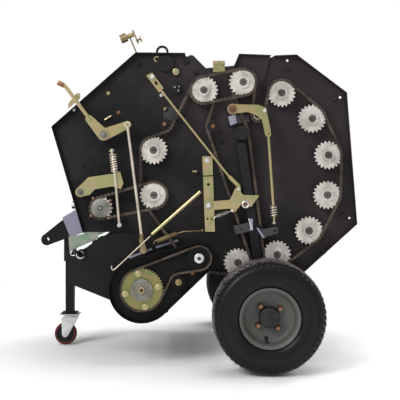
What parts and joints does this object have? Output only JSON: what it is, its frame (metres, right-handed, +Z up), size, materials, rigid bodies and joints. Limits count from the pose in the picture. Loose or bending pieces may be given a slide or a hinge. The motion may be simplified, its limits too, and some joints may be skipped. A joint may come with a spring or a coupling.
{
  "type": "round baler",
  "caption": "Compact towed round baler with a ring of chain-driven bale rollers, tined pickup, hinged rear gate, road wheels, hitch, input stub and castor jack.",
  "frame": {"origin": "on the ground, under the middle of the machine's outline", "axes": "+X rearwards to the gate, +Y to the machine's right side, +Z up"},
  "size_m": [1.352, 1.246, 1.3586],
  "materials": {
    "sheet_paint": "black paint, satin",
    "frame_paint": "black paint, satin",
    "pale_paint": "pale grey paint",
    "cast_iron": "machined casting",
    "bare_steel": "machined steel",
    "roller_steel": "black paint, worn",
    "chain_steel": "dark oiled steel",
    "zinc_yellow": "yellow zinc plate",
    "zinc_white": "zinc plate",
    "rim_paint": "dark grey-green paint",
    "tyre": "ribbed block tread",
    "castor_rubber": "dark red tread",
    "cap_plastic": "black plastic cap"
  },
  "bodies": {
    "frame": {"side_sheet_left": "sheet_paint", "side_sheet_right": "sheet_paint", "front_covers": "sheet_paint", "frame_ties": "frame_paint", "drawbar": "frame_paint", "gearbox": "cast_iron", "drive_shafts": "bare_steel", "rollers_front": "roller_steel", "bearings_front": "cast_iron", "sprockets_front": "bare_steel", "chain_main": "chain_steel", "chains_outer": "chain_steel", "idlers_front": "frame_paint", "axle_beam": "frame_paint", "axle_legs": "frame_paint", "leg_clamps": "frame_paint", "jack_sleeve": "frame_paint", "tension_arm": "zinc_yellow", "tension_rod": "zinc_yellow", "lock_lever": "zinc_yellow", "lock_rod": "zinc_yellow", "lever_stubs": "bare_steel", "upright_bar": "zinc_yellow", "pawl_plate": "zinc_yellow", "trip_rod": "zinc_yellow", "twine_brake": "zinc_yellow", "top_fittings": "frame_paint", "lever_quadrant": "zinc_yellow", "brace_tube": "zinc_yellow", "return_spring": "bare_steel", "drawbar_cheeks": "pale_paint", "front_brackets": "zinc_white", "top_bracket": "zinc_yellow"},
    "gate": {"gate_sheet_left": "sheet_paint", "gate_sheet_right": "sheet_paint", "rollers_gate": "roller_steel", "bearings_gate": "cast_iron", "sprockets_gate": "bare_steel", "chain_gate": "chain_steel", "gate_ties": "frame_paint"},
    "wheel_left": {"tyre_left": "tyre", "rim_left": "rim_paint", "hub_left": "cap_plastic"},
    "wheel_right": {"tyre_right": "tyre", "rim_right": "rim_paint", "hub_right": "cap_plastic"},
    "jack": {"jack_tube": "frame_paint"},
    "castor_fork": {"castor_fork": "zinc_white"},
    "castor_wheel": {"castor_tyre": "castor_rubber", "castor_hub": "cap_plastic"},
    "pickup": {"pickup_plate_left": "frame_paint", "pickup_plate_right": "frame_paint", "pickup_bands": "frame_paint", "pickup_guard": "frame_paint", "pickup_drive": "frame_paint", "chain_pickup": "chain_steel"},
    "reel": {"reel_tines": "frame_paint", "reel_sprocket": "zinc_yellow"},
    "lift_lever": {"lift_lever": "zinc_yellow"},
    "lift_rod": {"lift_rod": "zinc_yellow"}
  },
  "joints": [
    {"name": "gate_swing", "type": "hinge", "parent": "frame", "child": "gate", "pos_m": [0.21016, 0, 1.13986], "axis": [0, -1, 0], "range_deg": [0, 45]},
    {"name": "wheel_left_spin", "type": "hinge", "parent": "frame", "child": "wheel_left", "pos_m": [0.3, -0.525, 0.22], "axis": [0, 1, 0], "continuous": true},
    {"name": "wheel_right_spin", "type": "hinge", "parent": "frame", "child": "wheel_right", "pos_m": [0.3, 0.525, 0.22], "axis": [0, 1, 0], "continuous": true},
    {"name": "jack_slide", "type": "slide", "parent": "frame", "child": "jack", "axis": [0, 0, 1], "range_m": [0, 0.14]},
    {"name": "castor_swivel", "type": "hinge", "parent": "jack", "child": "castor_fork", "pos_m": [-0.548, 0, 0.14], "axis": [0, 0, 1], "continuous": true},
    {"name": "castor_spin", "type": "hinge", "parent": "castor_fork", "child": "castor_wheel", "pos_m": [-0.568, 0, 0.05], "axis": [0, 1, 0], "continuous": true},
    {"name": "pickup_lift", "type": "hinge", "parent": "frame", "child": "pickup", "pos_m": [0.033, 0, 0.432], "axis": [0, 1, 0], "range_deg": [-12, 4]},
    {"name": "reel_spin", "type": "hinge", "parent": "pickup", "child": "reel", "pos_m": [-0.198, 0, 0.304], "axis": [0, 1, 0], "continuous": true},
    {"name": "lever_turn", "type": "hinge", "parent": "frame", "child": "lift_lever", "pos_m": [-0.352, -0.414, 0.928], "axis": [0, 1, 0], "range_deg": [-8.3, 24.8]},
    {"name": "rod_swing", "type": "hinge", "parent": "lift_lever", "child": "lift_rod", "pos_m": [-0.255, -0.434, 0.968], "axis": [0, 1, 0], "range_deg": [-23.1, 7.7]}
  ],
  "couplings": [
    {"joint": "lever_turn", "follows": "pickup_lift", "ratio": -2.06},
    {"joint": "rod_swing", "follows": "pickup_lift", "ratio": 1.92}
  ]
}
